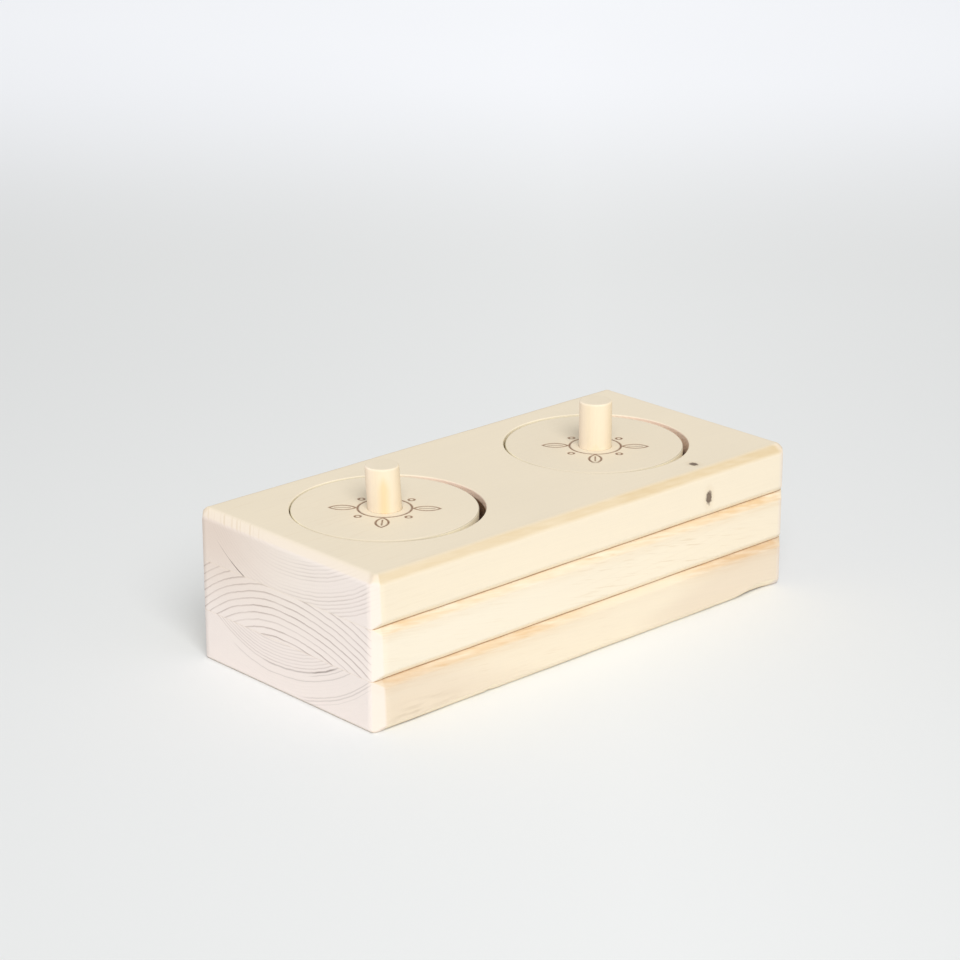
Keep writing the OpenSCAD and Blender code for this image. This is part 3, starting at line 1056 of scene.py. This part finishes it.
def board_wood(node, colours):
    """Finish of one board. The top board has a pin knot, round which its rings swell."""
    finish = Finish(node.replace("_", " ") + " wood")
    if node == "top_board":
        knot = knot_distance(finish)
        swell = (knot * knot * (-1 / 30)).math("EXPONENT") * 2
        colour, relief = raw_wood(finish, node, LOGS[node], colours, swell)
        colour = knot_mark(finish, colour, knot, colours)
    else:
        colour, relief = raw_wood(finish, node, LOGS[node], colours)
    colour = worked_edges(finish, colour, colours)
    # Painted light and a pinkish colour on the hole walls that face the near end.
    lit_wall = finish.facing.dot(LIT_WALL_WAY).rise(0.35, 0.95)
    pale_band = lit_wall.blend(colours.side_wood, colours.lit_cut_wood)
    # Further down the walls take painted shade of the gap with some saw burn.
    colour = sawn_walls_and_gap_shade(finish, colour, pale_band, colours.saw_burn_and_gap_shade)
    return finish.feed(colour, relief * 0.08 + 0.62, relief)


def lid_wood(end, colours):
    """Finish of a lid, which is a plug out of the top board, with its scorched lines."""
    finish = Finish(end + " lid wood")
    colour, relief = raw_wood(finish, "lid", LOGS["top_board"], colours)
    middle = box_middle(end + "_lid_disc")[0] / MM
    out = finish.place.vector("SUBTRACT", (*middle, 0)).dot(SHADED_SIDE_WAY)
    across, up = finish.facing.axes()[1:]
    # Painted shade on the eased upper edges that face the front.
    rim = up.rise(0.2, 0.6) * (1 - across.rise(-0.3, 0.2))
    side = rim.blend(colours.lid_side, colours.lid_rim_shade)
    # Painted shade on the lids' sides towards the near front corner.
    side = (out / (LID_SIZE[0] / (2 * MM))).rise(0.55, 0.88).blend(side, colours.lid_side_shade)
    # Further down the lid's side takes painted shade of the gap with some saw burn.
    colour = sawn_walls_and_gap_shade(finish, colour, side, colours.lid_burn_and_gap_shade)
    uneven = finish.place.noise((1.5, 1.5, 1.5), 3.0, roughness=0.6) * 0.6
    colour = (finish.trait("scorch") * (0.88 + uneven)).blend(colour, colours.scorch)
    return finish.feed(colour.scaled(LID_SHADE[end]), relief * 0.08 + 0.62, relief)


def peg_wood(end, colours, middle):
    """Finish of a peg: one broad warm streak where the rod cuts along a ring, upright fibres, a pinkish side
    with painted light, paler ends.
    """
    finish = Finish(end + " peg wood")
    x, y, z = finish.place.vector("SUBTRACT", (*(middle / MM), BLOCK_TOP / MM)).axes()
    across = finish.place.noise((4, 4, 30), 4.0) * 1.2 - x * LEAN_WAY[0] - y * LEAN_WAY[1]
    height = STREAK_HEIGHT[end]
    streak = across.near(0.1, 2.9) * (1 - (z + abs(across) * 1.2).rise(0.65 * height, height))
    flank = across.rise(2.5, 5.5) * 0.25
    fibre = finish.place.noise((0.45, 0.45, 16), 8.0, detail=3.0, roughness=0.6)
    warm = streak * STREAK_SHOW[end] + flank + fibre.rise(0.05, 0.3) * 0.15
    colour = warm.blend(colours.rod_wood, colours.rod_ring)
    # Pinkish colour and painted light on the side towards the near end and the back.
    colour = (1 - across.rise(-5.8, -2.2)).blend(colour, colours.rod_blush_and_light)
    head = finish.facing.axes()[2].rise(0.6, 0.95)
    colour = (head * 0.85).blend(colour, 0.97 * colours.pale_wood)
    relief = fibre * (1 - head)
    return finish.feed(colour.scaled(1 + fibre * 0.07), relief * 0.08 + 0.58, relief)


def dowel_wood(colours):
    """Finish of the dowels: beech with short upright flecks."""
    finish = Finish("dowel wood")
    fleck = finish.place.noise((0.35, 0.35, 2.2), 8.0, roughness=0.6)
    colour = fleck.rise(0.08, 0.25).blend(colours.beech, colours.beech_fleck)
    return finish.feed(colour, fleck * 0.1 + 0.6, fleck, 0.04 * MM)


# Studio

# The camera's direction and distance from its aim, which is shifted right and up from the block's middle
CAMERA_AZIMUTH = math.radians(-42.977)
CAMERA_ELEVATION = math.radians(19.406)
CAMERA_DISTANCE = 1.04729
CAMERA_AIM = (-7.785 * MM, 23.893 * MM)
CAMERA_LENS = 109.509
SENSOR_WIDTH = 36
# Half the floor's width, its shade behind the object, and how it darkens to both sides, for each millimetre
FLOOR_REACH = 4.0
FLOOR_BEHIND = 0.91
FLOOR_FALL = 0.00033
# The key light's direction, the angle that it fills, and the strengths of key and sky
KEY_AZIMUTH = math.radians(-33)
KEY_ELEVATION = math.radians(40)
KEY_SPREAD = math.radians(36)
KEY_STRENGTH = 2.25
SKY_STRENGTH = 0.54


def camera_axes():
    """Directions to the right, up and back of the camera."""
    a, e = CAMERA_AZIMUTH, CAMERA_ELEVATION
    back = np.array([math.sin(a) * math.cos(e), -math.cos(a) * math.cos(e), math.sin(e)])
    right = np.cross([0, 0, 1], back)
    right /= np.linalg.norm(right)
    return right, np.cross(back, right), back


def floor_finish(colours):
    """Pale floor, darker just behind the object and towards both sides, and lighter far behind, as a paper
    sweep looks under one soft light."""
    finish = Finish("studio floor")
    right, _, back = camera_axes()
    x, y, _ = finish.place.axes()
    depth = (x * -back[0] + y * -back[1]) / math.hypot(back[0], back[1])
    beside = abs(x * right[0] + y * right[1] - 40).math("MINIMUM", 400)
    colour = depth.rise(-300, 380).blend(colours.floor, FLOOR_BEHIND * colours.floor)
    colour = depth.rise(450, 1000).blend(colour, colours.backdrop)
    shade = 1 - beside * (1 - depth.rise(500, 1200) * 0.55) * FLOOR_FALL
    mottle = finish.place.noise((300, 300, 300), 1.0, detail=1.0)
    return finish.feed(colour.scaled(shade + mottle * 0.02), mottle * 0.05 + 0.8, mottle, 0.01 * MM)


class PUZZLE_OT_studio(bpy.types.Operator):
    """Builds the floor, the lights and the camera"""

    bl_idname = "puzzle.studio"
    bl_label = "Studio"

    def execute(self, context):
        scene = context.scene
        mesh = bpy.data.meshes.new("floor")
        r = FLOOR_REACH
        mesh.from_pydata([(-r, -r, 0), (r, -r, 0), (r, r, 0), (-r, r, 0)], [], [(0, 1, 2, 3)])
        mesh.materials.append(floor_finish(scene.puzzle_colours))
        floor = bpy.data.objects.new("floor", mesh)

        lamp = bpy.data.lights.new("key", "SUN")
        lamp.energy, lamp.angle, lamp.color = KEY_STRENGTH, KEY_SPREAD, (1.0, 0.995, 0.985)
        key = bpy.data.objects.new("key", lamp)
        key.rotation_euler = (math.pi / 2 - KEY_ELEVATION, 0, KEY_AZIMUTH)
        world = bpy.data.worlds.new("studio")
        world.use_nodes = True
        sky = world.node_tree.nodes["Background"]
        sky.inputs["Color"].default_value = (0.99, 0.995, 1.0, 1)
        sky.inputs["Strength"].default_value = SKY_STRENGTH
        scene.world = world
        scene.view_settings.view_transform = "Standard"

        right, up, back = camera_axes()
        view = bpy.data.cameras.new("camera")
        view.lens, view.sensor_width = CAMERA_LENS, SENSOR_WIDTH
        view.clip_start, view.clip_end = 0.01, 50
        camera = bpy.data.objects.new("camera", view)
        middle = np.array([0, 0, 1.5 * scene.puzzle_sizes.board_thickness])
        aim = middle + right * CAMERA_AIM[0] + up * CAMERA_AIM[1]
        camera.location = aim + back * CAMERA_DISTANCE
        camera.rotation_euler = (math.pi / 2 - CAMERA_ELEVATION, 0, CAMERA_AZIMUTH)
        for item in (floor, key, camera):
            scene.collection.objects.link(item)
        scene.camera = camera
        return {"FINISHED"}


OPERATORS = (PUZZLE_OT_boards, PUZZLE_OT_lids, PUZZLE_OT_pegs, PUZZLE_OT_dowels, PUZZLE_OT_studio)


class PUZZLE_PT_panel(bpy.types.Panel):
    """Lists the puzzle's sizes, colours and building steps"""

    bl_label = "Wooden treat puzzle"
    bl_space_type = "VIEW_3D"
    bl_region_type = "UI"
    bl_category = "Puzzle"

    def draw(self, context):
        for group in (context.scene.puzzle_sizes, context.scene.puzzle_colours):
            for name in group.__annotations__:
                self.layout.prop(group, name)
        for operator in OPERATORS:
            self.layout.operator(operator.bl_idname)


CLASSES = (PuzzleSizes, PuzzleColours, *OPERATORS, PUZZLE_PT_panel)


def register():
    """Makes the properties, operators and panel known to Blender."""
    for item in CLASSES:
        bpy.utils.register_class(item)
    bpy.types.Scene.puzzle_sizes = bpy.props.PointerProperty(type=PuzzleSizes)
    bpy.types.Scene.puzzle_colours = bpy.props.PointerProperty(type=PuzzleColours)


def unregister():
    """Takes them away again."""
    del bpy.types.Scene.puzzle_colours
    del bpy.types.Scene.puzzle_sizes
    for item in reversed(CLASSES):
        bpy.utils.unregister_class(item)


def main():
    """Builds the whole object."""
    register()
    bpy.ops.puzzle.boards()
    bpy.ops.puzzle.lids()
    bpy.ops.puzzle.pegs()
    bpy.ops.puzzle.dowels()
    bpy.ops.puzzle.studio()


if __name__ == "__main__":
    main()
